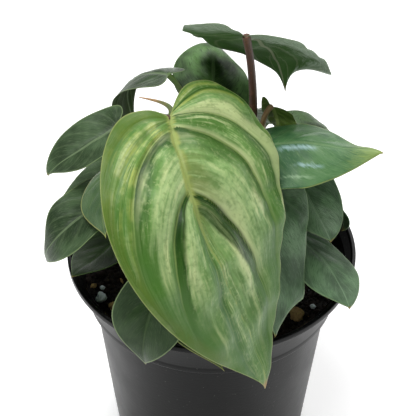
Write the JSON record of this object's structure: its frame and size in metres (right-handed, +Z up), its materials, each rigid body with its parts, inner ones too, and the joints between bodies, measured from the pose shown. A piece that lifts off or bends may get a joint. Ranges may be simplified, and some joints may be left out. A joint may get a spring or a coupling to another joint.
{
  "type": "potted philodendron",
  "caption": "Young heart-leaf philodendron with one large variegated leaf, growing from short stems in a black nursery pot of potting mix.",
  "frame": {"origin": "centre of the pot's flat foot, on the surface it stands on", "axes": "+Z up along the pot's axis; -Y is the side the largest leaf hangs over; +X is to the right when seen from that side"},
  "size_m": [0.1217, 0.1545, 0.1989],
  "materials": {
    "pot_plastic": "satin charcoal-black polypropylene, glossier at the lip",
    "potting_mix": "dark, rough, crumbly peat and bark potting mix",
    "stem": "satin brown-green plant stem",
    "front_blade": "satin leaf, bright yellow-green with darker green and pale cream-yellow stripes between the veins",
    "blade": "satin dark green leaf with fine paler veins",
    "petiole": "satin red-brown leaf stalk, greener toward its top",
    "bud_sheath": "dry tan sheath, olive at its base",
    "perlite": "matt off-white expanded perlite",
    "bark_chip": "rough tan bark"
  },
  "bodies": {
    "root": {"pot": "pot_plastic", "potting_mix": "potting_mix", "stem_front_left": "stem", "stem_front_right": "stem", "stem_back_left": "stem", "stem_back_right": "stem", "front_leaf": "front_blade", "front_petiole": "petiole", "top_leaf": "blade", "top_petiole": "petiole", "upper_back_leaf": "blade", "upper_back_petiole": "petiole", "upper_left_leaf": "blade", "upper_left_petiole": "petiole", "left_upper_leaf": "blade", "left_upper_petiole": "petiole", "left_back_leaf": "blade", "left_back_petiole": "petiole", "left_low_leaf": "blade", "left_low_petiole": "petiole", "left_inner_leaf": "blade", "left_inner_petiole": "petiole", "left_rim_leaf": "blade", "left_rim_petiole": "petiole", "front_low_leaf": "blade", "front_low_petiole": "petiole", "front_under_leaf": "blade", "front_under_petiole": "petiole", "right_pointed_leaf": "blade", "right_pointed_petiole": "petiole", "right_crown_leaf": "blade", "right_crown_petiole": "petiole", "right_back_leaf": "blade", "right_back_petiole": "petiole", "right_inner_leaf": "blade", "right_inner_petiole": "petiole", "right_mid_leaf": "blade", "right_mid_petiole": "petiole", "right_low_leaf": "blade", "right_low_petiole": "petiole", "right_rear_leaf": "blade", "right_rear_petiole": "petiole", "back_left_leaf": "blade", "back_left_petiole": "petiole", "back_right_leaf": "blade", "back_right_petiole": "petiole", "bud_sheath": "bud_sheath", "perlite_left": "perlite", "perlite_left_small": "perlite", "perlite_right": "perlite", "bark_right": "bark_chip", "bark_left": "bark_chip", "bark_back": "bark_chip"}
  },
  "joints": []
}
